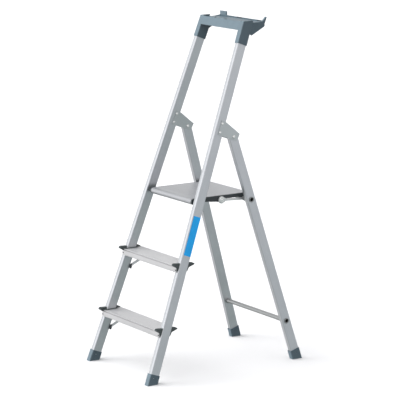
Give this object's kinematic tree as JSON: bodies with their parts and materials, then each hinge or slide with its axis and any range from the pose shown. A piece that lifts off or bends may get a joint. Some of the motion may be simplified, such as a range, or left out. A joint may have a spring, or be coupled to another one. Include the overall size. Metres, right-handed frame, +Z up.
{
  "type": "platform step ladder",
  "caption": "Folding aluminium step ladder with ribbed treads, a fold-up platform and a moulded tool tray above the hand rail.",
  "frame": {"origin": "on the floor, under the middle of the box around the opened ladder", "axes": "+Z up, -Y towards the user who faces the treads, +X to that user's right"},
  "size_m": [0.467, 0.7492, 1.396],
  "materials": {
    "extruded_aluminium": "satin anodised extrusion with fine lengthwise draw lines",
    "tread_aluminium": "bright extruded aluminium with anti-slip ribs",
    "deck_aluminium": "satin extruded aluminium with shallow anti-slip grooves",
    "pressed_aluminium": "pressed sheet, lightly tumbled",
    "zinc_plated_steel": "zinc plated rivets and pins",
    "blue_grey_plastic": "moulded blue-grey plastic with a fine grain",
    "black_plastic": "moulded black plastic",
    "blue_label": "plain blue self-adhesive film with two pale bars and no lettering"
  },
  "bodies": {
    "front_frame": {"brace_clamp_lower_left": "black_plastic", "brace_clamp_lower_right": "black_plastic", "brace_clamp_upper_left": "black_plastic", "brace_clamp_upper_right": "black_plastic", "brace_rivet_lower_left": "zinc_plated_steel", "brace_rivet_lower_right": "zinc_plated_steel", "brace_rivet_upper_left": "zinc_plated_steel", "brace_rivet_upper_right": "zinc_plated_steel", "bracket_rivet_lower_left": "zinc_plated_steel", "bracket_rivet_lower_right": "zinc_plated_steel", "bracket_rivet_upper_left": "zinc_plated_steel", "bracket_rivet_upper_right": "zinc_plated_steel", "front_foot_left": "blue_grey_plastic", "front_foot_right": "blue_grey_plastic", "front_stile_left": "extruded_aluminium", "front_stile_right": "extruded_aluminium", "hinge_bracket_left": "pressed_aluminium", "hinge_bracket_right": "pressed_aluminium", "hinge_pin_left": "zinc_plated_steel", "hinge_pin_right": "zinc_plated_steel", "platform_pin_left": "zinc_plated_steel", "platform_pin_right": "zinc_plated_steel", "side_label": "blue_label", "tool_tray": "blue_grey_plastic", "tray_rivet_left": "zinc_plated_steel", "tray_rivet_right": "zinc_plated_steel", "tread_brace_lower_left": "extruded_aluminium", "tread_brace_lower_right": "extruded_aluminium", "tread_brace_upper_left": "extruded_aluminium", "tread_brace_upper_right": "extruded_aluminium", "tread_cap_lower_left": "black_plastic", "tread_cap_lower_right": "black_plastic", "tread_cap_upper_left": "black_plastic", "tread_cap_upper_right": "black_plastic", "tread_lower": "tread_aluminium", "tread_upper": "tread_aluminium"},
    "rear_frame": {"crossbar_lower": "extruded_aluminium", "crossbar_upper": "extruded_aluminium", "rear_foot_left": "blue_grey_plastic", "rear_foot_right": "blue_grey_plastic", "rear_leg_left": "extruded_aluminium", "rear_leg_right": "extruded_aluminium"},
    "platform": {"platform_bush_left": "black_plastic", "platform_bush_right": "black_plastic", "platform_deck": "deck_aluminium", "platform_end_cap_left": "black_plastic", "platform_end_cap_right": "black_plastic"},
    "link_left": {"link_rivet_left": "zinc_plated_steel", "platform_link_left": "pressed_aluminium"},
    "link_right": {"link_rivet_right": "zinc_plated_steel", "platform_link_right": "pressed_aluminium"}
  },
  "joints": [
    {"name": "rear_frame_hinge", "type": "hinge", "parent": "front_frame", "child": "rear_frame", "pos_m": [0, 0.06702, 0.93437], "axis": [-1, 0, 0], "range_deg": [0, 36.9]},
    {"name": "platform_pivot", "type": "hinge", "parent": "front_frame", "child": "platform", "pos_m": [0, -0.10123, 0.68699], "axis": [1, 0, 0], "range_deg": [0, 65.4]},
    {"name": "link_left_pivot", "type": "hinge", "parent": "rear_frame", "child": "link_left", "pos_m": [0, 0.14528, 0.67679], "axis": [-1, 0, 0], "range_deg": [0, 41.3]},
    {"name": "link_right_pivot", "type": "hinge", "parent": "rear_frame", "child": "link_right", "pos_m": [0, 0.14528, 0.67679], "axis": [-1, 0, 0], "range_deg": [0, 41.3]}
  ],
  "couplings": [
    {"joint": "platform_pivot", "follows": "rear_frame_hinge", "ratio": 1.7705},
    {"joint": "link_left_pivot", "follows": "rear_frame_hinge", "ratio": 1.1181},
    {"joint": "link_right_pivot", "follows": "rear_frame_hinge", "ratio": 1.1181}
  ]
}
